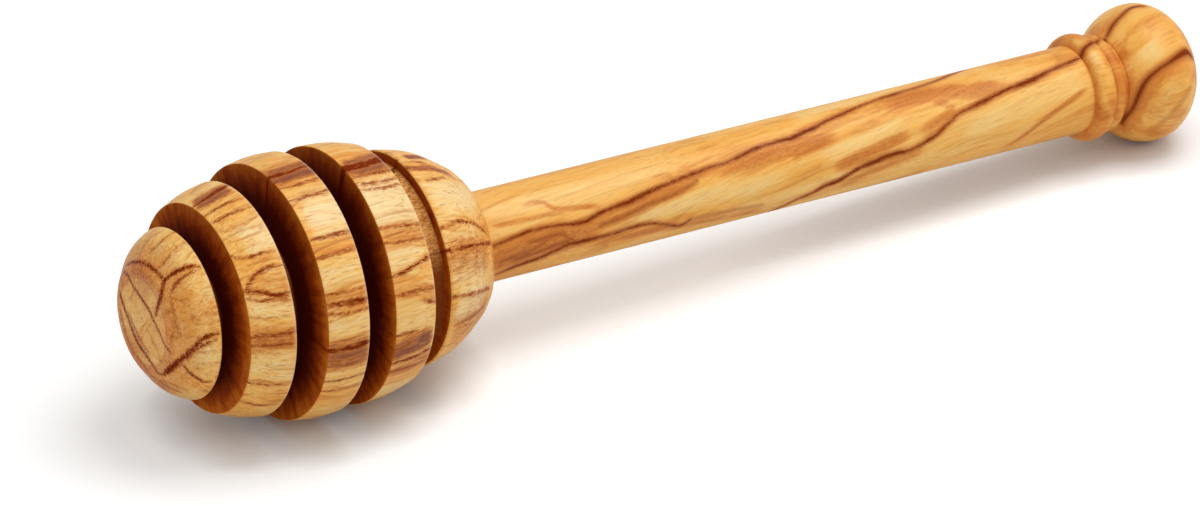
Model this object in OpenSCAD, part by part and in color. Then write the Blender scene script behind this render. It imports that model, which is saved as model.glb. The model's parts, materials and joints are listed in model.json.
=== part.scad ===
// Turned wooden honey dipper, lying on a table on its head and its end knob.
// Lengths run along the turning axis, from the flat tip to the end knob.

/* [Head discs] */
// Diameter of the flat face at the very tip
tip_face_d = 14.4; // [10:0.5:17]
// Diameter of the tip piece at its rear edge
tip_d = 24; // [19:0.2:26]
// Length of the tip piece
tip_len = 5.4; // [4:0.2:9]
// Diameter of disc 2 at its front edge
disc_2_front_d = 28.8; // [26:0.2:31]
// Diameter of disc 2 at its rear edge
disc_2_rear_d = 32.4; // [30:0.2:34]
// Length of disc 2
disc_2_len = 6.2; // [4:0.2:9]
// Diameter of disc 3 at its front edge
disc_3_front_d = 35.3; // [32:0.2:38]
// Diameter of disc 3 at its rear edge, the widest place of the head
disc_3_rear_d = 36.1; // [33:0.2:40]
// Length of disc 3
disc_3_len = 6.3; // [4:0.2:9]
// Diameter of disc 4 at its front edge
disc_4_front_d = 35.8; // [33:0.2:38]
// Diameter of disc 4 at its rear edge
disc_4_rear_d = 33.6; // [31:0.2:36]
// Length of disc 4
disc_4_len = 7; // [4:0.2:9]
// Diameter of the rear cap at its front edge
cap_front_d = 30.4; // [29:0.2:34]
// Diameter of the rear cap at the edge of its chamfer
cap_rear_d = 22.6; // [19:0.2:25]
// Length of the rear cap without its chamfer
cap_len = 8.9; // [6:0.2:12]
// Chamfer round the back of the rear cap
cap_chamfer = 0.9; // [0.4:0.1:1.6]
// How far a disc's face bulges between its edges
disc_crown = 0.35; // [0.1:0.05:0.6]
// How far the tip piece bulges
tip_crown = 1.1; // [0.3:0.1:1.4]
// How far the rear cap bulges
cap_crown = 1; // [0.5:0.1:1.6]
// Rounding of the flat tip into the tip piece
tip_round = 2.4; // [1:0.1:3]
// Rounding of the discs' edges
edge_round = 0.35; // [0.1:0.05:0.5]

/* [Honey grooves] */
// Width of groove 1, behind the tip piece
groove_1_w = 2.7; // [2:0.1:4]
// Width of groove 2
groove_2_w = 3.8; // [2:0.1:4]
// Width of groove 3
groove_3_w = 4; // [2:0.1:4]
// Width of groove 4, in front of the rear cap
groove_4_w = 3.4; // [2:0.1:4]
// Diameter of the core at the bottom of groove 1
core_1_d = 14; // [12:0.2:18]
// Diameter of the core at the bottom of groove 2
core_2_d = 19; // [16:0.2:26]
// Diameter of the core at the bottom of groove 3
core_3_d = 20.6; // [17:0.2:28]
// Diameter of the core at the bottom of groove 4
core_4_d = 27.4; // [20:0.2:28]
// Rounding at the bottom corners of the grooves
groove_round = 0.3; // [0.1:0.05:0.6]

/* [Handle] */
// Length of the handle between the head and the end knob
handle_len = 104; // [70:1:140]
// Diameter of the handle at the head
handle_head_d = 12.7; // [11:0.1:15]
// Diameter of the handle at the end knob
handle_knob_d = 12.8; // [11:0.1:14]
// Radius of the small flare where the handle meets the head
flare_r = 0.6; // [0.2:0.1:1.2]

/* [End knob] */
// Diameter of the first bead, next to the handle
bead_1_d = 15.7; // [14:0.1:18]
// Width of the first bead
bead_1_w = 3.5; // [2.5:0.1:5]
// Diameter of the second bead
bead_2_d = 14.4; // [13.6:0.1:16]
// Width of the second bead
bead_2_w = 1.9; // [1.4:0.1:3]
// Diameter at the bottom of the crease between the two beads
crease_d = 13.5; // [12.8:0.1:13.6]
// Diameter of the neck behind the beads
neck_d = 12.7; // [11:0.1:13.2]
// Width of the neck
neck_w = 0.6; // [0.4:0.1:2]
// Diameter of the round knob
knob_d = 20.2; // [17:0.2:26]
// Length of the knob from the neck to its widest place
knob_front_len = 6.7; // [4:0.1:7]
// Length of the knob from its widest place to its end
knob_rear_len = 7; // [5:0.1:10]
// Length that the knob's front curve would have without the neck
knob_front_curve = 8.9; // [8.8:0.1:11]

/* [Glued joints] */
// Diameter of the tenon that is glued into the head
tenon_d = 8; // [6:0.1:10]
// Length of that tenon
tenon_len = 18; // [12:0.5:24]
// Diameter of the tenon that is glued into the end knob
knob_tenon_d = 6.5; // [5:0.1:8]
// Length of that tenon
knob_tenon_len = 10; // [6:0.5:12]
// Glue clearance round each tenon
glue_gap = 0.1; // [0.05:0.01:0.2]
// Room for glue past the end of each tenon
glue_room = 1; // [0.5:0.1:1.5]
// Chamfer on the end of each tenon
tenon_chamfer = 0.6; // [0.3:0.1:1]
// Countersink at the mouth of each socket
mouth_chamfer = 0.5; // [0.2:0.1:0.8]
// Angle of the drill's point at the bottom of each socket
drill_angle = 118; // [90:1:140]

/* [Hidden] */

// Smoothness of turned surfaces, of rounded corners and of curved outlines
turn_fn = 128;
corner_steps = 4;
bead_steps = 12;
ball_steps = 22;
// How far a cutter reaches past the face that it cuts
cut_past = 1;

// Places of the head's pieces along the axis
disc_2_at = tip_len + groove_1_w;
disc_3_at = disc_2_at + disc_2_len + groove_2_w;
disc_4_at = disc_3_at + disc_3_len + groove_3_w;
cap_at = disc_4_at + disc_4_len + groove_4_w;
head_len = cap_at + cap_len + cap_chamfer;

// Places of the end knob's pieces along the axis
knob_at = head_len + handle_len;
crease_at = knob_at + bead_1_w;
neck_at = crease_at + bead_2_w;
ball_at = neck_at + neck_w;
ball_widest_at = ball_at + knob_front_len;

// A corner [place, radius, rounding] halfway along a face, which makes it bulge
function crown(at, len, front_d, rear_d, height) =
    [at + len / 2, (front_d + rear_d) / 4 + height, 2 * len];

// Outline of one disc: its two rounded edges with the bulging face between them
function disc(at, len, front_d, rear_d, height) = [
    [at, front_d / 2, edge_round],
    crown(at, len, front_d, rear_d, height),
    [at + len, rear_d / 2, edge_round]
];

// The two corners at the bottom of a groove
function groove(at, width, core_d) = [
    [at, core_d / 2, groove_round],
    [at + width, core_d / 2, groove_round]
];

// Rounds one corner of an outline, with no more than its two sides have room for
function corner(before, here, after) =
    let (a = [before[0] - here[0], before[1] - here[1]])
    let (b = [after[0] - here[0], after[1] - here[1]])
    let (half = acos(max(-1, min(1, a * b / norm(a) / norm(b)))) / 2)
    let (room = 0.45 * min(norm(a), norm(b)))
    let (reach = min(here[2] / tan(half), room))
    let (r = reach * tan(half))
    let (middle = a / norm(a) + b / norm(b))
    let (centre = [here[0], here[1]] + middle / norm(middle) * r / sin(half))
    let (start = [here[0], here[1]] + a / norm(a) * reach - centre)
    let (finish = [here[0], here[1]] + b / norm(b) * reach - centre)
    let (side = sign(start[0] * finish[1] - start[1] * finish[0]))
    let (sweep = side * (180 - 2 * half))
    [for (i = [0:corner_steps])
        let (t = sweep * i / corner_steps)
        centre + [start[0] * cos(t) - start[1] * sin(t), start[0] * sin(t) + start[1] * cos(t)]];

// Rounds every corner of an open outline that asks for it
function rounded(pts) = [
    for (i = [0:len(pts) - 1])
        each (i == 0 || i == len(pts) - 1 || pts[i][2] == 0
            ? [[pts[i][0], pts[i][1]]]
            : corner(pts[i - 1], pts[i], pts[i + 1]))
];

// A bead or hollow: part of an ellipse from radius r1 to radius r2 that reaches radius top
function bead(at, width, r1, r2, top) = [
    for (i = [0:bead_steps])
        let (t = i / bead_steps)
        let (base = r1 + (r2 - r1) * t)
        [at + width * (1 - cos(180 * t)) / 2, base + (top - base) * sin(180 * t)]
];

// Radius of the knob's front curve at a distance before its widest place
function ball_front_r(back) = knob_d / 2 * sqrt(1 - pow(back / knob_front_curve, 2));

// Outside of the head, from the tip to the back
head_outside = rounded(concat(
    [[0, 0, 0], [0, tip_face_d / 2, tip_round]],
    [crown(0, tip_len, tip_face_d, tip_d, tip_crown), [tip_len, tip_d / 2, edge_round]],
    groove(tip_len, groove_1_w, core_1_d),
    disc(disc_2_at, disc_2_len, disc_2_front_d, disc_2_rear_d, disc_crown),
    groove(disc_3_at - groove_2_w, groove_2_w, core_2_d),
    disc(disc_3_at, disc_3_len, disc_3_front_d, disc_3_rear_d, disc_crown),
    groove(disc_4_at - groove_3_w, groove_3_w, core_3_d),
    disc(disc_4_at, disc_4_len, disc_4_front_d, disc_4_rear_d, disc_crown),
    groove(cap_at - groove_4_w, groove_4_w, core_4_d),
    disc(cap_at, cap_len, cap_front_d, cap_rear_d, cap_crown),
    [[head_len, cap_rear_d / 2 - cap_chamfer, edge_round], [head_len, 0, 0]]
));

// Outside of the end knob, from its first bead to its end
knob_outside = concat(
    [[knob_at, 0]],
    bead(knob_at, bead_1_w, handle_knob_d / 2, crease_d / 2, bead_1_d / 2),
    bead(crease_at, bead_2_w, crease_d / 2, neck_d / 2, bead_2_d / 2),
    bead(neck_at, neck_w, neck_d / 2, ball_front_r(knob_front_len), neck_d / 2),
    [for (i = [1:ball_steps])
        let (back = knob_front_len * cos(90 * i / ball_steps))
        [ball_widest_at - back, ball_front_r(back)]],
    [for (i = [1:ball_steps])
        let (t = 90 * i / ball_steps)
        [ball_widest_at + knob_rear_len * sin(t), i == ball_steps ? 0 : knob_d / 2 * cos(t)]]
);

// Outside of the handle with its two tenons, from the head's end to the knob's end
handle_outside = concat(
    [[head_len - tenon_len, 0], [head_len - tenon_len, tenon_d / 2 - tenon_chamfer]],
    [[head_len - tenon_len + tenon_chamfer, tenon_d / 2], [head_len, tenon_d / 2]],
    [for (i = [0:corner_steps])
        let (t = 90 * i / corner_steps)
        [head_len + flare_r * (1 - cos(t)), handle_head_d / 2 + flare_r * (1 - sin(t))]],
    [[knob_at, handle_knob_d / 2], [knob_at, knob_tenon_d / 2]],
    [[knob_at + knob_tenon_len - tenon_chamfer, knob_tenon_d / 2]],
    [[knob_at + knob_tenon_len, knob_tenon_d / 2 - tenon_chamfer]],
    [[knob_at + knob_tenon_len, 0]]
);

// The dipper rests on its head and its knob, which tilts its axis: the slope is found by
// taking the line that touches both outlines, a few times over
function height(p, slope) = p[1] + slope * p[0];
function highest(pts, slope) =
    let (top = max([for (p = pts) height(p, slope)]))
    [for (p = pts) if (height(p, slope) == top) p][0];
function rest_slope(slope, tries) =
    let (h = highest(head_outside, slope))
    let (k = highest(knob_outside, slope))
    tries == 0 ? slope : rest_slope((h[1] - k[1]) / (k[0] - h[0]), tries - 1);
tilt = atan(rest_slope(0, 6));
lift = height(highest(head_outside, tan(tilt)), tan(tilt)) * cos(tilt);

// Middle of the lying dipper's length, which is put over the origin
low_x = min([for (p = head_outside) p[0] * cos(tilt) - p[1] * sin(tilt)]);
high_x = max([for (p = knob_outside) p[0] * cos(tilt) + p[1] * sin(tilt)]);
middle_x = (low_x + high_x) / 2;

// Lays what is turned about the Z axis down along X, on the table
module lying() {
    translate([-middle_x, 0, lift])
        rotate([0, 90 + tilt, 0])
            children();
}

// A solid turned from an outline of [place, radius] points
module turned(outline) {
    rotate_extrude($fn = turn_fn)
        polygon([for (p = outline) [p[1], p[0]]]);
}

// A drilled socket for a tenon: it opens at the origin and runs along +Z
module socket(d, len) {
    r = d / 2 + glue_gap;
    deep = len + glue_room;
    translate([0, 0, -cut_past])
        cylinder(r = r, h = deep + cut_past, $fn = turn_fn);
    translate([0, 0, deep])
        cylinder(r1 = r, r2 = 0, h = r / tan(drill_angle / 2), $fn = turn_fn);
    translate([0, 0, -cut_past])
        cylinder(r1 = r + mouth_chamfer + cut_past, r2 = r, h = mouth_chamfer + cut_past, $fn = turn_fn);
}

// Grooved egg-shaped head with the handle's socket in its back
module dipper_head() {
    color("#c98a45")
        lying()
            difference() {
                turned(head_outside);
                translate([0, 0, head_len])
                    mirror([0, 0, 1])
                        socket(tenon_d, tenon_len);
            }
}

// Straight handle with a tenon at each end
module handle() {
    color("#dcae66")
        lying()
            turned(handle_outside);
}

// Two beads and the round knob, with the handle's socket in its front
module end_knob() {
    color("#d09a55")
        lying()
            difference() {
                turned(knob_outside);
                translate([0, 0, knob_at])
                    socket(knob_tenon_d, knob_tenon_len);
            }
}

dipper_head();
handle();
end_knob();
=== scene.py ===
"""Looks of a turned olive wood honey dipper that lies on a pale table.

Each turned piece of the frame is turned again as a finer mesh. The dark veins are strokes: those
that the photograph shows are given in its pixels and thrown onto the wood through the camera,
and the hidden side gets strokes of the same kind. A procedural wood material does the rest.
"""

import json
import math
import random

import bmesh
import bpy
import numpy as np
from mathutils import Matrix, Vector
from mathutils.bvhtree import BVHTree


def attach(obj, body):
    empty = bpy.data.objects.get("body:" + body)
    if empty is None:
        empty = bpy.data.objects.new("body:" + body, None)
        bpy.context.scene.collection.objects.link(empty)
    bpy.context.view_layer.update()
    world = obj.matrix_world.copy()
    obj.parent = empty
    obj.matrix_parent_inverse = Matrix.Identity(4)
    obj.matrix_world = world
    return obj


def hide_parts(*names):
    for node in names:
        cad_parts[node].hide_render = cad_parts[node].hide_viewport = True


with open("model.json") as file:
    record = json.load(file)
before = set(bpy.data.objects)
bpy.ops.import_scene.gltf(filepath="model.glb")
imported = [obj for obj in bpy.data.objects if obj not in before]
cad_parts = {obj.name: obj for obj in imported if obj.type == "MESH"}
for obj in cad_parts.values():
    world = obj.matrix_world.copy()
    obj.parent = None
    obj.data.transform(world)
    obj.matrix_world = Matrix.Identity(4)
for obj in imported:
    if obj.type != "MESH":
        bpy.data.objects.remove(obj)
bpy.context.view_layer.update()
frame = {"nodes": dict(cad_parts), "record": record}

# The photograph's frame and the camera that took it: angles in degrees, the rest in metres
PHOTO_W, PHOTO_H = 1200, 506
LENS_MM, SENSOR_MM = 210.0, 36.0
CAMERA_AT = Vector((-0.473496, -0.713318, 0.475189))
CAMERA_HEADING = 32.8081
CAMERA_DOWN = 28.8226
CAMERA_ROLL = -0.1717

MM = 0.001

# For each piece, the spacing of the points along its outline and their number round it
GRID = {
    "dipper_head": (0.3 * MM, 324),
    "handle": (0.5 * MM, 200),
    "end_knob": (0.25 * MM, 240),
}
# Deeper than this in a groove the points may lie this many times as far apart
WALL_FROM, WALL_STEP = 0.6 * MM, 6
# What lies deeper than this under the smooth envelope is inside the wood and needs no fine mesh
INSIDE_FROM = 8.5 * MM


# The dipper's own axes

def dipper_matrix():
    """Local X is the turning axis, from the flat tip to the end knob, and local Z leans up."""
    tip = next(m for m in frame["record"]["mounts"] if m["name"] == "tip_face")
    along = -Vector(tip["axis"]).normalized()
    side = Vector((0, 1, 0))
    up = along.cross(side)
    turn = Matrix((along, side, up)).transposed().to_4x4()
    return Matrix.Translation(tip["pos_m"]) @ turn


LYING = dipper_matrix()
UPRIGHT = LYING.inverted()


# Camera

def make_camera():
    data = bpy.data.cameras.new("camera")
    data.lens = LENS_MM
    data.sensor_width = SENSOR_MM
    data.clip_end = 10
    camera = bpy.data.objects.new("camera", data)
    heading = Matrix.Rotation(math.radians(-CAMERA_HEADING), 4, "Z")
    pitch = Matrix.Rotation(math.radians(90 - CAMERA_DOWN), 4, "X")
    roll = Matrix.Rotation(math.radians(CAMERA_ROLL), 4, "Z")
    camera.matrix_world = Matrix.Translation(CAMERA_AT) @ heading @ pitch @ roll
    bpy.context.scene.collection.objects.link(camera)
    bpy.context.scene.camera = camera
    bpy.context.view_layer.update()
    return camera


def line_of_sight(camera, px, py):
    """Start and direction, in the dipper's own axes, of the line of sight through a pixel."""
    focal = LENS_MM / SENSOR_MM * PHOTO_W
    sight = Vector((px - PHOTO_W / 2, PHOTO_H / 2 - py, -focal))
    start = UPRIGHT @ camera.matrix_world.translation
    direction = (UPRIGHT @ camera.matrix_world).to_3x3() @ sight
    return start, direction.normalized()


# Outlines, taken from the frame

def section(node):
    """A node's outline as it is cut by a plane through the axis: rough, but in order."""
    bm = bmesh.new()
    bm.from_mesh(frame["nodes"][node].data)
    bm.transform(UPRIGHT)
    bmesh.ops.remove_doubles(bm, verts=bm.verts, dist=0.001 * MM)
    whole = bm.verts[:] + bm.edges[:] + bm.faces[:]
    bmesh.ops.bisect_plane(bm, geom=whole, plane_co=(0, 0, 0), plane_no=(0, 0, 1), clear_inner=True)
    half = bm.verts[:] + bm.edges[:] + bm.faces[:]
    cut = bmesh.ops.bisect_plane(bm, geom=half, plane_co=(0, 0, 0), plane_no=(0, 1, 0))["geom_cut"]
    edges = [e for e in cut if isinstance(e, bmesh.types.BMEdge)]
    links = {}
    for e in edges:
        a, b = e.verts
        links.setdefault(a, []).append(b)
        links.setdefault(b, []).append(a)
    here = min((v for v in links if len(links[v]) == 1), key=lambda v: v.co.x)
    path, before = [], None
    while here is not None:
        path.append((here.co.x, abs(here.co.z)))
        ahead = [v for v in links[here] if v is not before]
        before, here = here, (ahead[0] if ahead else None)
    bm.free()
    return np.array(path)


def outline(node):
    """The true outline of a turned node: its own vertices, put in the order of its section."""
    rough = section(node)
    at = np.array([UPRIGHT @ v.co for v in frame["nodes"][node].data.vertices])
    points = np.stack([at[:, 0], np.hypot(at[:, 1], at[:, 2])], 1)
    points = np.unique(np.round(points, 6), axis=0)
    start, step = rough[:-1], np.diff(rough, axis=0)
    length = np.maximum(np.hypot(*step.T), 1e-9)
    walked = np.concatenate([[0], np.cumsum(length)[:-1]])
    order = []
    for p in points:
        t = np.clip(((p - start) * step).sum(1) / length**2, 0, 1)
        off = np.hypot(*(start + t[:, None] * step - p).T)
        best = off.argmin()
        order.append(walked[best] + t[best] * length[best])
    path = [np.array([rough[0][0], 0.0])]
    for i in np.argsort(order):
        if math.dist(points[i], path[-1]) > 0.02 * MM:
            path.append(points[i])
    if path[-1][1] > 0.02 * MM:
        path.append(np.array([rough[-1][0], 0.0]))
    return np.array(path)


def envelope(path):
    """Upper hull of an outline: the smooth form that the grooves are cut into."""
    hull = []
    for p in sorted((round(x, 6), r) for x, r in path):
        while len(hull) > 1:
            (ax, ar), (bx, br) = hull[-2], hull[-1]
            if (bx - ax) * (p[1] - ar) - (br - ar) * (p[0] - ax) < 0:
                break
            hull.pop()
        hull.append(p)
    return np.array(hull)


def below(hull, x, r):
    """How deep under the envelope points at place x and radius r lie."""
    return np.interp(x, hull[:, 0], hull[:, 1]) - r


def refined(path, hull, step):
    """The same outline with no gap between its outer points longer than step."""
    points = [path[0]]
    for end in path[1:]:
        on_tip = end[0] < hull[0][0] + 0.01 * MM
        parts = 0
        while parts != 1:
            here, way = points[-1], end - points[-1]
            length = max(math.hypot(*way), 1e-9)
            ahead = here + way * min(1, WALL_STEP * step / length)
            depth = 0 if on_tip else min(below(hull, *here), below(hull, *ahead))
            if depth > INSIDE_FROM:
                parts = 1
            elif depth > WALL_FROM:
                parts = math.ceil(length / (WALL_STEP * step))
            else:
                parts = max(1, math.ceil(length / step))
            points.append(here + way / parts)
    return np.array(points)


# Turned meshes

def spun(path, turns):
    """Points and faces turned from (place, radius) pairs about local X, ring by ring."""
    verts, rings, faces = [], [], []
    for x, r in path:
        if r < 0.001 * MM:
            rings.append([len(verts)] * turns)
            verts.append((x, 0, 0))
            continue
        rings.append(list(range(len(verts), len(verts) + turns)))
        for i in range(turns):
            angle = 2 * math.pi * i / turns
            verts.append((x, r * math.cos(angle), r * math.sin(angle)))
    for low, high in zip(rings, rings[1:]):
        for i in range(turns):
            j = (i + 1) % turns
            corners = [low[i], low[j], high[j], high[i]]
            faces.append(list(dict.fromkeys(corners)))
    ring_of = np.zeros(len(verts), int)
    for k, ring in enumerate(rings):
        ring_of[ring] = k
    return verts, faces, ring_of


def piece_from(name, verts, faces):
    """An object whose mesh holds the points in the frame's own axes."""
    mesh = bpy.data.meshes.new(name)
    mesh.from_pydata(verts, [], faces)
    mesh.validate()
    mesh.transform(LYING)
    bm = bmesh.new()
    bm.from_mesh(mesh)
    bmesh.ops.recalc_face_normals(bm, faces=bm.faces)
    bm.to_mesh(mesh)
    bm.free()
    mesh.shade_smooth()
    mesh.set_sharp_from_angle(angle=math.radians(40))
    piece = bpy.data.objects.new(name, mesh)
    bpy.context.scene.collection.objects.link(piece)
    return piece


# Veins: each stroke is (half width in mm, strength, pixels of the photograph along it)

TIP_VEINS = [
    (0.34, 0.85, [(124, 270.5), (127, 265), (135, 262), (143, 263), (150.5, 266.5), (158, 273.5),
                  (163, 280), (163.5, 285)]),
    (0.3, 0.85, [(123.5, 271), (127.5, 275), (132, 284), (138, 293.5), (144.5, 303), (150, 312),
                 (153.5, 320), (160, 333.5), (164.5, 344), (170.5, 352)]),
    (0.4, 0.95, [(200, 266), (192, 266), (181, 269.5), (173.5, 273.5), (166, 279), (163, 286),
                 (161, 296.5), (158, 306), (155.5, 315)]),
    (0.28, 0.6, [(198, 269), (186, 275), (176.5, 283), (171, 292)]),
    (0.22, 0.3, [(171, 292), (170, 300), (173.5, 307.5), (176.5, 323), (180, 335)]),
    (0.36, 0.85, [(120, 292), (123, 304), (127.5, 316.5), (132, 329), (138, 343), (146, 355),
                  (153.5, 366), (158, 373), (164, 374.5)]),
    (0.26, 0.45, [(128.5, 313), (133.5, 325), (140, 339), (148, 352)]),
    (0.55, 0.95, [(164, 374.5), (173.5, 366), (181, 359.5), (187.5, 353.5), (195, 346), (203, 339),
                  (212, 335), (220, 334)]),
    (0.34, 0.7, [(186, 360), (195, 350.5), (204, 345), (217, 339.5)]),
    (0.34, 0.7, [(184, 366), (189, 372), (196.5, 378), (204, 382), (210.5, 383)]),
    (0.22, 0.35, [(139.5, 253.5), (146, 243), (153.5, 235), (163, 229)]),
    (0.22, 0.35, [(150.5, 252), (160, 243), (169, 233.5), (178, 228)]),
    (0.22, 0.35, [(158, 269), (166, 260), (173.5, 250.5), (184, 241)]),
    (0.22, 0.25, [(175, 252), (182, 244), (191, 239)]),
    (0.26, 0.4, [(121, 310), (125, 330), (133, 350), (145, 367), (160, 382), (180, 392)]),
]
DISC_2_VEINS = [
    (0.9, 0.75, [(193, 207), (208, 197), (226, 184)]),
    (0.35, 0.7, [(205, 216), (221, 206), (243, 196)]),
    (0.28, 0.6, [(213, 223), (232, 213), (257, 203)]),
    (0.22, 0.25, [(222, 240), (245, 229), (270, 222)]),
    (0.32, 0.75, [(228, 257), (245, 258), (262, 253), (282, 248)]),
    (0.35, 0.75, [(286, 264), (275, 266), (262, 270), (252, 279), (246, 290), (243, 296)]),
    (0.4, 0.9, [(242, 292), (262, 292), (275, 295), (296, 292)]),
    (0.28, 0.6, [(248, 299), (262, 301), (276, 299), (297, 298)]),
    (0.4, 0.7, [(246, 338), (262, 336), (280, 335), (300, 332)]),
    (0.32, 0.6, [(248, 346), (270, 346), (300, 342)]),
    (0.4, 0.85, [(246, 382), (270, 385), (293, 385)]),
    (0.3, 0.55, [(236, 398), (256, 405), (276, 405)]),
    (0.22, 0.3, [(247, 318), (270, 318), (299, 314)]),
]
DISC_3_VEINS = [
    (0.85, 0.85, [(262, 180), (285, 173), (314, 164)]),
    (0.4, 0.7, [(278, 190), (300, 184), (322, 177)]),
    (0.28, 0.6, [(288, 202), (308, 196), (333, 189)]),
    (0.35, 0.65, [(304, 242), (328, 236), (352, 230)]),
    (0.28, 0.5, [(312, 260), (335, 254), (358, 247)]),
    (0.3, 0.75, [(320, 296), (345, 292), (368, 286)]),
    (0.5, 0.95, [(322, 307), (348, 303), (370, 297)]),
    (0.32, 0.7, [(324, 316), (348, 313), (371, 307)]),
    (0.6, 0.9, [(322, 352), (350, 348), (372, 340)]),
    (0.25, 0.5, [(322, 362), (348, 360), (371, 353)]),
    (0.3, 0.55, [(318, 382), (345, 379), (367, 372)]),
    (0.25, 0.45, [(312, 392), (335, 390), (360, 384)]),
]
DISC_4_VEINS = [
    (1.0, 0.9, [(338, 170), (365, 164), (395, 156)]),
    (0.4, 0.75, [(346, 179), (375, 173), (400, 168)]),
    (0.25, 0.6, [(352, 185), (378, 182), (400, 177)]),
    (0.25, 0.55, [(358, 190), (380, 188), (404, 184)]),
    (0.35, 0.65, [(376, 228), (402, 226), (426, 223)]),
    (0.28, 0.55, [(382, 244), (405, 241), (429, 237)]),
    (0.4, 0.9, [(391, 278), (405, 271), (420, 262), (435, 254)]),
    (0.35, 0.6, [(392, 298), (415, 291), (439, 287)]),
    (0.55, 0.6, [(424, 301), (432, 302), (440, 300)]),
    (0.28, 0.55, [(392, 338), (405, 334), (417, 331)]),
    (0.35, 0.6, [(393, 351), (404, 346), (416, 340)]),
    (0.5, 0.9, [(387, 366), (410, 358), (434, 346)]),
    (0.3, 0.6, [(385, 373), (405, 368), (427, 359)]),
]
CAP_VEINS = [
    (0.6, 0.6, [(408, 160), (425, 163), (446, 163)]),
    (0.35, 0.6, [(418, 166), (435, 167), (452, 168)]),
    (0.3, 0.65, [(427, 180), (445, 178), (464, 177)]),
    (0.4, 0.8, [(443, 227), (455, 222), (465, 222), (476, 225), (486, 233)]),
    (0.55, 1.0, [(424, 258), (434, 255), (448, 251), (470, 246), (490, 243)]),
    (0.32, 0.6, [(452, 298), (470, 294), (489, 288)]),
    (0.4, 0.4, [(456, 326), (470, 318), (484, 306)]),
]
HANDLE_VEINS = [
    (0.4, 1.0, [(486, 249), (493, 246.5), (509, 239.5), (528, 232), (545, 227.5), (562, 225),
                (576, 223.5), (588, 220.5), (600, 213), (615, 207), (629, 202), (641, 196),
                (653, 190), (665, 185), (680, 179), (697, 172.5), (709, 167.5), (723, 163.5),
                (735, 159), (747, 152.5), (761, 146.5), (776, 142), (792, 138), (803, 132.5),
                (815, 127.5), (826, 121), (840, 115), (853, 109), (867, 103.5), (880, 98.5),
                (892, 95), (904, 91)]),
    (0.36, 0.6, [(904, 91), (915, 88), (927, 84), (938, 80), (950, 75), (964, 70)]),
    (0.36, 0.85, [(495, 275), (509, 269), (523, 263.5), (538, 258.5), (550, 253), (559, 249),
                  (569, 244), (581, 241.5), (600, 237), (615, 233), (629, 228.5), (644, 224.5),
                  (656, 223.5), (668, 225), (677, 226), (684.5, 223.5), (689, 220)]),
    (0.28, 0.28, [(689, 220), (704, 216.5), (721, 213), (740, 209), (762, 205)]),
    (0.42, 1.0, [(768, 212), (780, 207.5), (795.5, 200), (811, 193.5), (826, 185.5), (838, 181),
                 (849.5, 174), (861, 167.5), (873, 162.5), (884.5, 157.5), (896, 153.5),
                 (907.5, 151), (917, 147), (927, 141), (936.5, 134.5), (944, 127.5), (952, 120),
                 (960, 113), (971, 107.5), (983, 101.5), (994.5, 95.5), (1008, 89), (1022, 84),
                 (1035, 78.5), (1050.5, 70.5), (1070, 62), (1079, 58)]),
    (0.3, 0.12, [(1008, 146), (1031, 130.5), (1052, 114), (1070, 101.5), (1086, 90)]),
    (0.24, 0.45, [(500, 262), (520, 254), (534, 249), (548, 240)]),
    (0.24, 0.5, [(512, 261), (530, 255), (556, 245), (572, 239)]),
    (0.2, 0.45, [(528, 243), (545, 238), (560, 234), (569, 238)]),
    (0.3, 0.5, [(511, 258.5), (517, 257)]),
    (0.3, 0.5, [(523, 256), (528, 254)]),
    (0.24, 0.4, [(600, 226), (615, 220), (634, 211.5), (648, 204.5), (663, 199.5), (680, 191),
                  (697, 180.5)]),
]
KNOB_VEINS = [
    (0.5, 0.95, [(1080, 60), (1082, 54), (1085, 48), (1090, 44), (1097, 41.5), (1105, 40)]),
    (0.5, 0.85, [(1107, 36), (1113, 25), (1122, 15), (1131, 8), (1143, 6)]),
    (0.6, 1.0, [(1122, 124), (1125, 118), (1133, 108), (1140, 92), (1147, 80), (1158, 70), (1170, 62),
                (1180, 55), (1187, 52), (1192, 57)]),
    (0.3, 0.22, [(1150, 131), (1165, 120), (1180, 104), (1190, 88)]),
]
PHOTO_VEINS = {
    "dipper_head": TIP_VEINS + DISC_2_VEINS + DISC_3_VEINS + DISC_4_VEINS + CAP_VEINS,
    "handle": HANDLE_VEINS,
    "end_knob": KNOB_VEINS,
}

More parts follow.
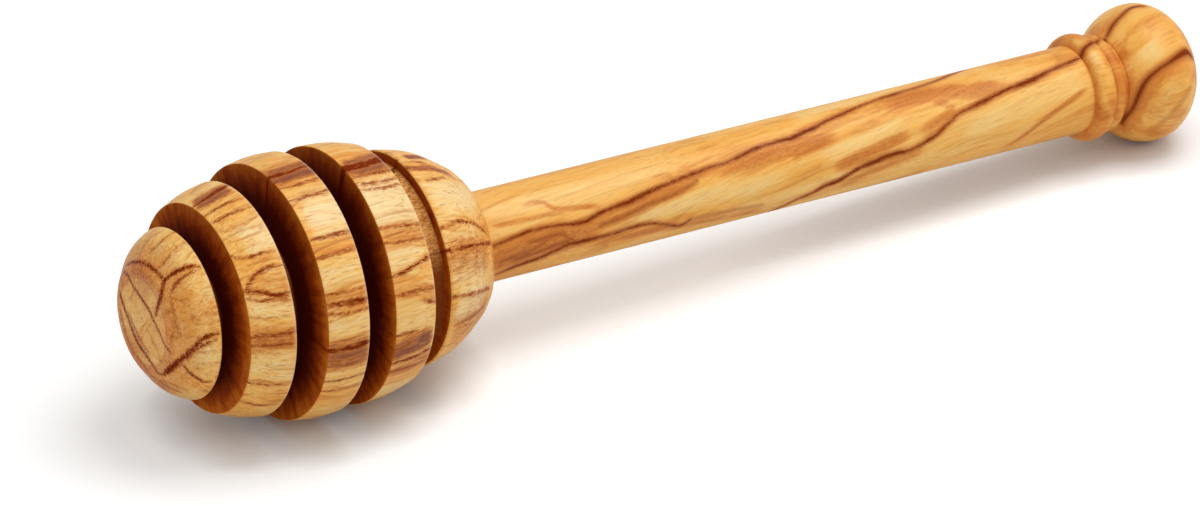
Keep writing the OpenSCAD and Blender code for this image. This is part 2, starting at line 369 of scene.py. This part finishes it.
# Broad bands of browner wood, as strokes of the same form
PHOTO_BANDS = {
    "dipper_head": [
        (3.0, 0.55, [(128, 275), (140, 280), (150, 300)]),
        (2.5, 0.5, [(202, 322), (215, 315), (222, 306)]),
        (3.0, 0.5, [(120, 320), (140, 365), (175, 393)]),
        (2.2, 0.75, [(246, 341), (270, 341), (300, 337)]),
        (2.0, 0.55, [(244, 286), (262, 285), (296, 282)]),
        (1.7, 1.25, [(192, 207), (210, 197), (228, 186)]),
        (2.4, 1.1, [(322, 357), (350, 354), (372, 346)]),
        (2.2, 0.6, [(320, 303), (345, 301), (370, 295)]),
        (2.0, 1.35, [(264, 180), (285, 174), (314, 166)]),
        (2.0, 1.4, [(340, 169), (365, 165), (394, 157)]),
        (2.0, 0.6, [(378, 235), (402, 232), (428, 229)]),
        (2.0, 0.55, [(392, 297), (415, 290), (439, 290)]),
        (2.6, 0.7, [(386, 371), (408, 363), (432, 352)]),
        (1.8, 1.2, [(384, 356), (400, 351), (418, 343), (434, 334)]),
        (3.0, 0.7, [(446, 256), (468, 254), (490, 252)]),
        (3.5, 0.6, [(450, 338), (470, 322), (488, 302)]),
        (1.2, 0.5, [(466, 254), (476, 253), (486, 254)]),
        (0.8, 1.3, [(404, 156), (424, 158), (446, 164), (468, 173)]),
        (0.7, 1.1, [(400, 164), (425, 168), (452, 175), (470, 184)]),
    ],
    "handle": [
        (2.0, 1.45, [(482, 265), (505, 258), (530, 250), (560, 240), (600, 228)]),
        (1.2, 0.9, [(560, 238), (590, 229), (612, 217), (640, 205), (665, 193), (700, 178)]),
        (0.7, 0.6, [(680, 184), (710, 172), (740, 162)]),
        (1.3, 0.95, [(715, 176), (750, 163), (780, 152), (803, 147), (840, 134)]),
        (0.6, 0.6, [(815, 134), (850, 119), (890, 104)]),
        (1.5, 0.95, [(875, 108), (912, 97), (942, 92), (972, 90), (1012, 84)]),
        (1.0, 0.75, [(922, 97), (944, 103), (951, 111), (941, 122), (918, 136)]),
        (1.0, 0.95, [(832, 170), (850, 161), (870, 152), (896, 140), (912, 131)]),
        (0.9, 0.75, [(800, 205), (836, 187), (862, 175), (890, 163), (925, 149)]),
        (0.55, 0.55, [(960, 116), (1010, 91), (1050, 73), (1085, 57)]),
        (0.45, 0.85, [(518, 207), (540, 202), (556, 209), (580, 207), (605, 206)]),
        (0.45, 0.85, [(490, 228), (518, 222), (546, 215), (568, 211)]),
        (0.8, 0.75, [(580, 246), (640, 233), (700, 222), (770, 208)]),
        (0.4, 1.0, [(1000, 150), (1031, 130), (1052, 114), (1088, 88)]),
        (0.6, 0.4, [(640, 180), (700, 162), (760, 140)]),
    ],
    "end_knob": [
        (1.6, 0.75, [(1080, 40), (1092, 34), (1102, 28), (1114, 20), (1128, 8), (1142, 3)]),
        (2.0, 0.95, [(1110, 40), (1116, 60), (1122, 80), (1128, 98), (1126, 124)]),
        (1.4, 0.95, [(1120, 134), (1132, 118), (1142, 98), (1152, 82), (1166, 70), (1190, 58)]),
        (1.2, 0.85, [(1094, 100), (1101, 112), (1104, 124), (1098, 136), (1088, 140)]),
        (1.0, 0.8, [(1108, 90), (1116, 108), (1116, 124), (1108, 138)]),
        (0.9, 0.35, [(1092, 52), (1098, 68), (1104, 92)]),
        (1.2, 0.9, [(1050, 48), (1060, 38), (1072, 35), (1086, 38), (1100, 42)]),
        (1.8, 0.6, [(1124, 142), (1146, 136), (1168, 126), (1186, 104)]),
        (1.4, 0.35, [(1136, 22), (1150, 24), (1164, 30), (1178, 44)]),
        (2.0, 0.5, [(1146, 122), (1166, 104), (1188, 80)]),
    ],
}

# Patches of pale wood and of painted light, as strokes of the same form
PHOTO_PALES_AND_HIGHLIGHTS = {
    "dipper_head": [
        (2.4, 0.8, [(240, 243), (262, 236), (278, 232)]),
        (1.6, 0.6, [(262, 277), (290, 273)]),
        (1.8, 0.5, [(248, 312), (298, 306)]),
        (1.6, 0.5, [(250, 364), (296, 358)]),
        (3.2, 1.0, [(306, 219), (330, 213), (346, 209)]),
        (2.0, 0.5, [(318, 275), (360, 268)]),
        (2.2, 0.5, [(325, 330), (370, 322)]),
        (3.8, 1.5, [(366, 208), (392, 204), (415, 203)]),
        (2.0, 0.6, [(385, 259), (425, 251)]),
        (2.2, 0.5, [(392, 318), (435, 310)]),
        (1.6, 0.5, [(370, 392), (410, 380)]),
        (2.8, 1.0, [(430, 197), (455, 196), (474, 198)]),
        (1.8, 0.5, [(440, 237), (484, 233)]),
        (2.0, 1.0, [(452, 272), (486, 269)]),
        # painted light on the underside of the cap
        (2.6, 1.2, [(458, 306), (486, 292)]),
        (1.6, 0.5, [(203, 285), (214, 300)]),
        (1.8, 0.5, [(195, 350), (212, 356)]),
    ],
    "handle": [
        (1.2, 0.1, [(480, 214), (560, 198), (640, 178), (720, 156)]),
        (1.0, 0.6, [(790, 118), (850, 101), (900, 88)]),
        (1.0, 0.4, [(600, 252), (680, 238), (760, 218)]),
        (1.2, 0.6, [(620, 224), (680, 206), (730, 192), (790, 176)]),
        (1.2, 0.5, [(820, 158), (860, 143), (905, 122)]),
        (1.4, 0.5, [(960, 138), (1020, 108), (1084, 78)]),
        (0.9, 0.2, [(980, 80), (1030, 68), (1076, 52)]),
    ],
    "end_knob": [
        # painted highlight on the knob
        (1.8, 0.8, [(1143, 46), (1152, 56)]),
        (1.2, 0.4, [(1162, 98), (1178, 82)]),
        (0.9, 0.6, [(1090, 52), (1098, 66)]),
        (0.7, 0.4, [(1108, 60), (1112, 80)]),
    ],
}

# Strokes on the side that the photograph doesn't show: how many cross each piece
HIDDEN_VEINS = {"dipper_head": 30, "handle": 7, "end_knob": 5}
HIDDEN_SEED = 11
# Half of the angle, about the axis, that the photograph shows
SHOWN_ANGLE = 84
# Past this distance a vein's field no longer falls, in mm
VEIN_REACH = 2.0
# The strokes' half widths are drawn generously and are narrowed by this factor
VEIN_WIDTH = 0.6
# How far a browner band fades past its half width, as a share of it
BAND_FADE = 0.8
# A band fades over one part in this many of its length at either end
END_FADE = 4
# How wide the painted highlight along the rear edge of a disc is, in metres
PAINTED_RIM_WIDTH = 0.42 * MM
# What lies deeper than this under the envelope takes the figure of the face above it
LIFT_FROM = 0.3 * MM


def thrown(camera, target, pixels):
    """Where the lines of sight through pixels meet the envelope, in the dipper's own axes."""
    points = []
    for px, py in pixels:
        start, direction = line_of_sight(camera, px, py)
        hit = target.ray_cast(start, direction)[0]
        if hit is not None:
            points.append(hit)
    return points


def smooth_line(points, step=0.2 * MM):
    """A smooth curve through a stroke's points, as an array of close points."""
    if len(points) < 2:
        return np.zeros((0, 3))
    p = [points[0]] + list(points) + [points[-1]]
    line = []
    for a, b, c, d in zip(p, p[1:], p[2:], p[3:]):
        parts = max(2, math.ceil((c - b).length / step))
        for i in range(parts):
            t = i / parts
            line.append(0.5 * (2 * b + (c - a) * t + (2 * a - 5 * b + 4 * c - d) * t**2
                               + (3 * b - a - 3 * c + d) * t**3))
    line.append(points[-1])
    return np.array(line)


def distances(at, line, reach):
    """Which points lie within reach of a line, how far from it, and how far along it."""
    near = np.flatnonzero(np.all((at > line.min(0) - reach) & (at < line.max(0) + reach), axis=1))
    close = at[near]
    gap = np.full(len(close), np.inf)
    along = np.zeros(len(close))
    for i, p in enumerate(line):
        d = ((close - p) ** 2).sum(1)
        closer = d < gap
        gap[closer], along[closer] = d[closer], i / len(line)
    return near, np.sqrt(gap), along


class Figure:
    """The veins and bands of one piece, gathered stroke by stroke on its points."""

    def __init__(self, at, rng):
        self.at, self.rng = at, rng
        self.vein = np.full(len(at), -VEIN_REACH)
        self.strength = np.zeros(len(at))
        self.band = np.zeros(len(at))
        self.pale_and_lit = np.zeros(len(at))

    def add_vein(self, line, half_width, strength):
        """The field holds the distance inside a vein's edge, in mm, and falls outside it."""
        if not len(line):
            return
        wander = self.rng.uniform(0, 6)
        near, gap, along = distances(self.at, line, VEIN_REACH * MM)
        length = len(line)
        swell = 1 + 0.25 * np.sin(along * length * 0.04 + wander)
        swell = swell + 0.2 * np.sin(along * length * 0.13 + 3 * wander)
        thin = np.clip(np.minimum(along, 1 - along) * length * 0.06 + 0.45, 0, 1)
        inside = VEIN_WIDTH * half_width * swell * thin - gap / MM
        ahead = inside > self.vein[near]
        self.vein[near[ahead]] = inside[ahead]
        self.strength[near[ahead]] = strength

    def add_band(self, field, line, half_width, strength):
        """Raises a field, the browner bands or the pale wood and painted light, softly along a stroke."""
        if not len(line):
            return
        near, gap, along = distances(self.at, line, half_width * (1 + BAND_FADE) * MM)
        edge = (gap / MM - half_width * (1 - BAND_FADE)) / (2 * BAND_FADE * half_width)
        fade = 1 - np.clip(edge, 0, 1)
        ends = np.clip(np.minimum(along, 1 - along) * END_FADE, 0, 1)
        value = strength * fade * fade * (3 - 2 * fade) * ends * (2 - ends)
        field[near] = np.maximum(field[near], value)


def hidden_line(rng, hull, toward, slope):
    """A vein of the hidden side: it runs along the axis and wanders a little about it."""
    low, high = hull[0][0], hull[-1][0]
    # where the wood is rounded to a point, the veins end short of it
    high -= 2.5 * MM if hull[-1][1] < MM else 0
    first = rng.uniform(low, low + 0.6 * (high - low))
    last = min(high, first + rng.uniform(0.3, 0.9) * (high - low))
    lean, phase = slope + rng.uniform(-0.02, 0.02), rng.uniform(0, 6)
    # the angle that it may drift through is kept clear of the side that is shown
    drifts = math.degrees((abs(lean) * (last - first) / 2 + 0.7 * MM) / hull[:, 1].max())
    room = max(0, 178 - SHOWN_ANGLE - drifts)
    middle = toward + math.radians(180 + rng.uniform(-1, 1) * room)
    points = []
    for i in range(9):
        x = first + (last - first) * i / 8
        r = max(float(np.interp(x, hull[:, 0], hull[:, 1])), MM)
        drift = lean * (x - (first + last) / 2) + 0.7 * MM * math.sin(phase + (x - first) / (7 * MM))
        angle = middle + drift / r
        points.append(Vector((x, r * math.cos(angle), r * math.sin(angle))))
    return points


def profile_fields(path, hull, grooved):
    """For each point of an outline: its depth in a groove in mm, its nearness to a rear rim, where a highlight is
    painted, whether it faces outwards as a groove's floor does, and how much end grain it shows."""
    step = np.gradient(path, axis=0)
    facing = step / np.maximum(np.hypot(*step.T), 1e-9)[:, None]
    backward, outward = -facing[:, 1], facing[:, 0]
    depth = below(hull, path[:, 0], path[:, 1])
    outside = (path[:, 0] > hull[0][0] + 0.05 * MM) & (depth < INSIDE_FROM) & grooved
    rear_face = path[:, 0] > hull[-1][0] - 0.05 * MM
    walked = np.concatenate([[0], np.cumsum(np.hypot(*np.diff(path, axis=0).T))])
    # the painted highlight lies on the rounding next to each rear wall's outer edge
    walls = walked[outside & ~rear_face & (backward > 0.97) & (depth < 0.8 * MM)]
    painted_rim = np.zeros(len(path))
    for wall in walls:
        painted_rim = np.maximum(painted_rim, np.exp(-(((walked - wall) / PAINTED_RIM_WIDTH) ** 2)))
    floor = np.where(outward > 0.8, 1.0, 0.0)
    # a groove's forward edge counts as deeper than it is, so that its rounding is as dark as its wall
    forward_edge = outside & (backward < -0.35) & (depth < 0.5 * MM) & (depth > 0.02 * MM)
    forward_edge &= np.roll(backward, 4) < -0.9
    # a wall is as deep as it lies under the face next to it
    face = (outward > 0.8) & (depth < MM)
    beside = np.abs(walked[:, None] - walked[face][None, :]).argmin(1)
    under = np.maximum(depth - depth[face][beside], 0)
    deep = np.where(outside & ~rear_face, under, 0) / MM + np.where(forward_edge, 0.3, 0)
    across = np.clip((np.abs(backward) - 0.5) / 0.4, 0, 1)
    end = across * ((np.abs(depth) < LIFT_FROM) | rear_face)
    return deep, painted_rim, floor, end


def mark(camera, node, piece, verts, rings, rough, hull, grooved):
    """Writes the piece's figure and its outline's fields onto its points."""
    at = np.array(verts)
    x, radius = at[:, 0], np.hypot(at[:, 1], at[:, 2])
    outer = np.interp(x, hull[:, 0], hull[:, 1])
    # what lies in a groove takes the figure of the face above it, so veins run down its walls
    lifted = at.copy()
    if grooved:
        inner = (x > hull[0][0] + LIFT_FROM) & (x < hull[-1][0] - LIFT_FROM)
        deep = (outer - radius > LIFT_FROM) & inner
        lifted[deep, 1:] *= (outer[deep] / np.maximum(radius[deep], 1e-6))[:, None]
    shell = spun(refined(hull if grooved else rough, hull, MM), 240)
    target = BVHTree.FromPolygons(shell[0], shell[1])
    rng = random.Random(HIDDEN_SEED + len(node))
    figure = Figure(lifted, rng)
    for half_width, strength, pixels in PHOTO_VEINS[node]:
        figure.add_vein(smooth_line(thrown(camera, target, pixels)), half_width, strength)
    for field, strokes in ((figure.band, PHOTO_BANDS), (figure.pale_and_lit, PHOTO_PALES_AND_HIGHLIGHTS)):
        for half_width, strength, pixels in strokes[node]:
            figure.add_band(field, smooth_line(thrown(camera, target, pixels)), half_width, strength)
    view = UPRIGHT @ camera.matrix_world.translation
    toward = math.atan2(view.z, view.y)
    for _ in range(HIDDEN_VEINS[node]):
        line = smooth_line(hidden_line(rng, hull, toward, 0.06 if node == "handle" else 0.0))
        strength, half_width = rng.uniform(0.35, 1), rng.uniform(0.25, 0.5)
        figure.add_vein(line, half_width, strength)
        figure.add_band(figure.band, line, 5 * half_width, 0.7 * strength)
    fields = {"vein": figure.vein, "strength": figure.strength, "band": figure.band,
              "pale_and_lit": figure.pale_and_lit}
    for name, values in zip(("depth", "painted_rim", "floor", "end"), rings[0]):
        fields[name] = values[rings[1]]
    for name, values in fields.items():
        layer = piece.data.attributes.new(name, "FLOAT", "POINT")
        layer.data.foreach_set("value", values.astype(np.float32))
    layer = piece.data.attributes.new("wood_mm", "FLOAT_VECTOR", "POINT")
    layer.data.foreach_set("vector", (at / MM).astype(np.float32).ravel())


# Materials

class Nodes:
    """Short calls that add shader nodes to a material and link them."""

    def __init__(self, name):
        self.material = bpy.data.materials.new(name)
        self.material.use_nodes = True
        self.tree = self.material.node_tree
        self.tree.nodes.clear()

    def add(self, kind, inputs=None, **settings):
        made = self.tree.nodes.new(kind)
        for key, value in settings.items():
            setattr(made, key, value)
        for key, value in (inputs or {}).items():
            if isinstance(value, bpy.types.NodeSocket):
                self.tree.links.new(value, made.inputs[key])
            else:
                made.inputs[key].default_value = value
        return made

    def math(self, operation, a, b=0.0, clamp=False):
        made = self.add("ShaderNodeMath", {0: a, 1: b}, operation=operation, use_clamp=clamp)
        return made.outputs[0]

    def vector(self, operation, a, b):
        return self.add("ShaderNodeVectorMath", {0: a, 1: b}, operation=operation).outputs[0]

    def total(self, *terms):
        """Sum of values, each with its weight."""
        whole = 0.0
        for value, weight in terms:
            whole = self.math("ADD", self.math("MULTIPLY", value, weight), whole)
        return whole

    def span(self, value, low, high, to_low=0.0, to_high=1.0):
        """value, taken smoothly from low..high to to_low..to_high."""
        inputs = {"Value": value, "From Min": low, "From Max": high, "To Min": to_low, "To Max": to_high}
        made = self.add("ShaderNodeMapRange", inputs, interpolation_type="SMOOTHSTEP")
        return made.outputs["Result"]

    def mix(self, factor, a, b, blend="MIX"):
        made = self.add("ShaderNodeMix", data_type="RGBA", blend_type=blend)
        for socket, value in ((made.inputs["Factor"], factor), (made.inputs[6], a), (made.inputs[7], b)):
            if isinstance(value, bpy.types.NodeSocket):
                self.tree.links.new(value, socket)
            else:
                socket.default_value = value
        return made.outputs[2]

    def ramp(self, value, stops):
        made = self.add("ShaderNodeValToRGB", {"Fac": value})
        elements = made.color_ramp.elements
        while len(elements) < len(stops):
            elements.new(0.5)
        for element, (place, colour) in zip(elements, stops):
            element.position = place
            element.color = colour
        return made.outputs["Color"]

    def streaks(self, at, along, across, detail=2.0, rough=0.5):
        """Noise drawn out along the grain: cycles per mm along it and across it."""
        stretched = self.add("ShaderNodeMapping", {"Vector": at, "Scale": (along, across, across)})
        inputs = {"Vector": stretched.outputs[0], "Scale": 1.0, "Detail": detail, "Roughness": rough}
        return self.add("ShaderNodeTexNoise", inputs).outputs[0]

    def field(self, name, output="Fac"):
        return self.add("ShaderNodeAttribute", attribute_name=name).outputs[output]


def rgb(r, g, b):
    return (r, g, b, 1.0)


CREAM = rgb(0.88, 0.65, 0.31)
PALE = rgb(0.88, 0.555, 0.175)
GOLD = rgb(0.86, 0.43, 0.08)
AMBER = rgb(0.72, 0.265, 0.036)
BAND = rgb(0.48, 0.15, 0.022)
# What a browner band takes from the wood's colour
SHADE = rgb(0.84, 0.57, 0.34)
PLUM = rgb(0.20, 0.042, 0.017)
VEIN_PALE = rgb(0.42, 0.105, 0.008)
VEIN = rgb(0.18, 0.018, 0.001)
# the grooves' walls: their own darker, redder wood, darkened further with depth as painted shade
WALL_RIM = rgb(0.54, 0.145, 0.012)
WALL = rgb(0.34, 0.052, 0.003)
WALL_DARK = rgb(0.095, 0.007, 0.001)
CORE = rgb(0.84, 0.43, 0.13)
# colour of the core towards the bottom
CORE_LOWER_DARK = rgb(0.19, 0.034, 0.003)
CORE_DARK = rgb(0.40, 0.12, 0.016)
# colour of the painted highlight on the discs' rear rims
PAINTED_RIM_HIGHLIGHT = rgb(1.0, 0.76, 0.47)
END = rgb(0.82, 0.58, 0.47)

# How much the oiled wood reflects
SHINE = 0.28


def wood(name, lean, warmth, crisp):
    """Oiled olive wood. lean tilts its grain from the axis, warmth makes it browner, and crisp
    says how strongly its fibres and pores show."""
    n = Nodes(name)
    # the far end of the dipper is drawn softer: its bands fade widely and its specks are faint
    soft, grit = 1 - crisp, min(1.0, 2 * crisp)
    mm = n.field("wood_mm", "Vector")
    along, _, upward = n.add("ShaderNodeSeparateXYZ", {0: mm}).outputs
    slide = n.add("ShaderNodeVectorMath", {0: lean, "Scale": along}, operation="SCALE").outputs[0]
    straight = n.vector("SUBTRACT", mm, slide)
    # the grain sways gently about its straight line
    sway = n.add("ShaderNodeMapping", {"Vector": straight, "Scale": (0.05, 0.07, 0.07)}).outputs[0]
    sway = n.add("ShaderNodeTexNoise", {"Vector": sway, "Scale": 1.0, "Detail": 1.0}).outputs["Color"]
    sway = n.vector("MULTIPLY", n.vector("SUBTRACT", sway, (0.5, 0.5, 0.5)), (0.0, 4.0, 4.0))
    grain = n.vector("ADD", straight, sway)

    broad = n.streaks(grain, 0.010, 0.13, 1.0)
    lines = n.streaks(grain, 0.018, 0.50)
    fine = n.streaks(grain, 0.05, 1.8)
    fibre = n.streaks(grain, 0.22, 4.2)
    speck = n.streaks(grain, 0.8, 3.2, 3.0, 0.7)

    plain = n.total((broad, 0.4), (lines, 0.4), (fine, 0.35 * crisp), (fibre, 0.2 * crisp))
    # pale wood and painted light raise the tone towards cream
    tone = n.total((plain, 1.0), (n.field("pale_and_lit"), -0.28))
    middle = 0.4 + 0.275 * crisp
    tone = n.span(tone, middle - 0.33 - warmth, middle + 0.27 - warmth)
    colour = n.ramp(tone, [(0.0, CREAM), (0.4, PALE), (0.8, GOLD), (1.0, AMBER)])

    # growth rings: each darkens slowly, then ends at a thin brown line
    rings = n.streaks(grain, 0.009, 0.085, 1.5)
    rings = n.total((rings, 13.0), (speck, 0.10), (fine, 0.22))
    ring = n.math("FRACT", rings)
    edge = n.math("MULTIPLY", n.span(ring, 0.45, 0.96), n.span(ring, 0.97, 1.0, 1.0, 0.0))
    edge = n.math("POWER", edge, 2.2)
    broken = n.span(n.total((lines, 0.6), (fine, 0.4)), 0.42, 0.62, 0.08 * crisp, 0.7 * crisp)
    edge = n.math("MULTIPLY", edge, broken)
    colour = n.mix(edge, colour, BAND)

    # browner bands, streaked along the grain, the strongest of them plum
    band = n.field("band")
    shaded = n.total((band, 1.0), (fine, 0.4 + 0.8 * soft))
    shaded = n.span(shaded, 0.25 + 0.4 * soft, 1.15 + 0.5 * soft)
    colour = n.mix(shaded, colour, SHADE, "MULTIPLY")
    dots = n.streaks(grain, 1.6, 5.0, 2.0, 0.6)
    drawn = 0.7 + soft
    streaked = n.total((band, 1.0), (fine, drawn), (speck, 0.35 * grit), (fibre, 0.5 * grit),
                       (dots, 0.4 * crisp))
    coarse = 0.5 * drawn + 0.425 * grit + 0.2 * crisp
    streaked_in = n.span(streaked, coarse + 0.33 - 0.2 * soft, coarse + 0.98 + 0.3 * soft)
    cover = n.math("MULTIPLY", streaked_in, n.span(band, 0.02, 0.4))
    colour = n.mix(n.math("MULTIPLY", cover, 0.15 + 0.6 * crisp), colour, BAND)
    flecked = n.span(n.total((dots, 0.6), (speck, 0.4)), 0.5, 0.6)
    flecked = n.math("MULTIPLY", flecked, n.span(band, 0.35, 1.15, 0.0, 0.6 * grit))
    colour = n.mix(flecked, colour, VEIN_PALE)
    plum = n.total((band, crisp), (fine, 0.7), (speck, 0.7), (fibre, 0.8), (dots, 0.8))
    plum = n.span(plum, 2.15, 2.8)
    colour = n.mix(n.math("MULTIPLY", plum, 0.9), colour, PLUM)

    # dark veins with a soft brown shade beside them and speckled edges
    inside, strength = n.field("vein"), n.field("strength")
    halo = n.math("MULTIPLY", n.span(inside, -0.8 - 0.8 * soft, 0.1), strength)
    colour = n.mix(n.math("MULTIPLY", halo, n.span(fine, 0.3, 0.7, 0.1 + 0.3 * soft, 0.75)), colour, AMBER)
    ragged = n.total((inside, 1.0), (speck, 1.1 * crisp), (dots, 0.5 * crisp), (1.0, 0.8 * soft))
    stained = n.span(ragged, 0.5 - 0.6 * soft, 0.92)
    stained = n.math("MULTIPLY", stained, n.span(strength, 0.0, 0.5, 0.0, 0.95))
    colour = n.mix(stained, colour, VEIN_PALE)
    vein = n.math("MULTIPLY", n.span(ragged, 0.7 - 0.1 * soft, 1.04), n.span(strength, 0.15, 0.9, 0.0, 0.85 + 0.1 * crisp))
    colour = n.mix(vein, colour, VEIN)

    # fibres and pores
    colour = n.mix(n.span(fibre, 0.4, 0.75, 0.0, 0.28 * crisp), colour, AMBER, "MULTIPLY")
    pore = n.span(n.streaks(grain, 0.35, 3.6, 1.0), 0.6, 0.7)
    colour = n.mix(n.math("MULTIPLY", pore, 0.5 * crisp), colour, BAND)

    # end grain is duller, and along the rear edges of the discs a pale highlight is painted
    end = n.math("MULTIPLY", n.field("end"), n.span(speck, 0.3, 0.7, 0.75, 1.0))
    colour = n.mix(end, colour, END, "MULTIPLY")
    colour = n.mix(n.math("MULTIPLY", n.field("painted_rim"), 0.55), colour, PAINTED_RIM_HIGHLIGHT)

    # the walls of the grooves drink the oil and are darker and redder, with streaks that run inwards; their further
    # darkening with depth in the groove is painted shade
    spokes = n.vector("NORMALIZE", n.vector("MULTIPLY", mm, (0.0, 1.0, 1.0)), mm)
    spokes = n.vector("MULTIPLY", spokes, (11.0, 11.0, 11.0))
    spokes = n.vector("ADD", spokes, n.vector("MULTIPLY", mm, (0.12, 0.06, 0.06)))
    torn = n.add("ShaderNodeTexNoise", {"Vector": spokes, "Scale": 1.1, "Detail": 3.0}).outputs[0]
    depth = n.field("depth")
    shade = n.total((depth, 0.15), (torn, 0.55), (lines, 0.5), (dots, 0.2))
    wall = n.ramp(n.span(shade, 0.42, 1.38), [(0.0, WALL_RIM), (0.45, WALL), (1.0, WALL_DARK)])
    # painted shade: the walls darken towards the top
    wall = n.mix(n.span(upward, 5.0, 13.0, 0.0, 0.3), wall, WALL_DARK)
    core = n.mix(n.span(n.total((speck, 0.6), (dots, 0.4)), 0.38, 0.62), CORE, CORE_DARK)
    # the core is darker towards the bottom
    core = n.mix(n.span(upward, 3.5, 8.5, 0.95, 0.05), core, CORE_LOWER_DARK)
    wall = n.mix(n.field("floor"), wall, core)
    wall = n.mix(n.math("MULTIPLY", vein, 0.8), wall, WALL_DARK)
    walled = n.span(depth, 0.16, 0.28)
    colour = n.mix(walled, colour, wall)

    roughness = n.math("ADD", n.span(fibre, 0.25, 0.75, 0.36, 0.46), n.math("MULTIPLY", walled, 0.35))
    shine = n.math("MULTIPLY", n.span(walled, 0.0, 1.0, SHINE, 0.1 * SHINE), n.span(vein, 0.0, 1.0, 1.0, 0.05))
    height = n.total((fibre, 0.5 * crisp), (pore, -0.2 * crisp), (vein, -0.3), (n.math("MULTIPLY", torn, walled), 1.5))
    bump = n.add("ShaderNodeBump", {"Height": height, "Strength": 0.3, "Distance": 0.00008})
    inputs = {"Base Color": colour, "Roughness": roughness, "Normal": bump.outputs[0],
              "Specular IOR Level": shine}
    shader = n.add("ShaderNodeBsdfPrincipled", inputs)
    shader.inputs["Specular IOR Level"].default_value = SHINE
    n.add("ShaderNodeOutputMaterial", {"Surface": shader.outputs[0]})
    return n.material


# Pieces

def dress(camera, node, slot, lean, warmth, crisp):
    """Turns a finer mesh in the place of a node of the frame and gives it its wood."""
    step, turns = GRID[node]
    rough = outline(node)
    hull = envelope(rough)
    path = refined(rough, hull, step)
    verts, faces, ring_of = spun(path, turns)
    piece = piece_from("turned_" + node, verts, faces)
    grooved = node == "dipper_head"
    fields = profile_fields(path, hull, grooved)
    mark(camera, node, piece, verts, (fields, ring_of), rough, hull, grooved)
    piece.data.materials.append(wood(slot, lean, warmth, crisp))
    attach(piece, "root")
    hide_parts(node)
    return piece


# Table and light

def make_floor():
    """A white table that keeps the object's shadow: what the camera sees of it is lifted to white."""
    size, lift = 6.0, 0.31
    bpy.ops.mesh.primitive_plane_add(size=size)
    floor = bpy.context.object
    floor.name = "table"
    n = Nodes("table")
    seen = n.add("ShaderNodeLightPath").outputs["Is Camera Ray"]
    white = n.add("ShaderNodeBsdfDiffuse", {"Color": rgb(0.755, 0.76, 0.758)})
    # the lift fades where the object touches the table: a painted contact shadow
    near = n.add("ShaderNodeAmbientOcclusion", {"Distance": 0.008}, samples=8).outputs["AO"]
    shown = n.math("MULTIPLY", n.math("MULTIPLY", seen, lift), n.math("POWER", near, 2.5))
    glow = n.add("ShaderNodeEmission", {"Color": rgb(1, 1, 0.985), "Strength": shown})
    both = n.add("ShaderNodeAddShader", {0: white.outputs[0], 1: glow.outputs[0]})
    n.add("ShaderNodeOutputMaterial", {"Surface": both.outputs[0]})
    floor.data.materials.append(n.material)


def softbox(name, place, size, power):
    """A square lamp that faces the middle of the dipper."""
    data = bpy.data.lights.new(name, "AREA")
    data.shape = "SQUARE"
    data.size = size
    data.energy = power
    lamp = bpy.data.objects.new(name, data)
    lamp.location = place
    lamp.rotation_euler = (-Vector(place)).to_track_quat("-Z", "Y").to_euler()
    bpy.context.scene.collection.objects.link(lamp)


def make_world(strength):
    """Even studio light, and plain white where the camera or a reflection sees past the table."""
    world = bpy.data.worlds.new("studio")
    bpy.context.scene.world = world
    world.use_nodes = True
    tree = world.node_tree
    background = tree.nodes["Background"]
    path = tree.nodes.new("ShaderNodeLightPath")
    seen = tree.nodes.new("ShaderNodeMath")
    seen.operation = "MULTIPLY_ADD"
    seen.inputs[1].default_value = 1 - strength
    seen.inputs[2].default_value = strength
    tree.links.new(path.outputs["Is Camera Ray"], seen.inputs[0])
    tree.links.new(seen.outputs[0], background.inputs["Strength"])
    background.inputs["Color"].default_value = rgb(1, 1, 1)


camera = make_camera()
dress(camera, "dipper_head", "head_wood", (0.0, 0.0, 0.0), 0.04, 1.0)
dress(camera, "handle", "handle_wood", (0.0, 0.05, 0.14), 0.075, 0.5)
dress(camera, "end_knob", "knob_wood", (0.0, 0.05, 0.1), 0.09, 0.1)
make_floor()
make_world(0.53)
softbox("key", (0.36, -0.10, 1.03), 0.6, 6.05)
softbox("fill_left", (-0.667, -0.667, 0.566), 0.9, 1.75)
softbox("fill_right", (0.667, -0.667, 0.566), 0.9, 1.4)

scene = bpy.context.scene
scene.view_settings.view_transform = "Standard"
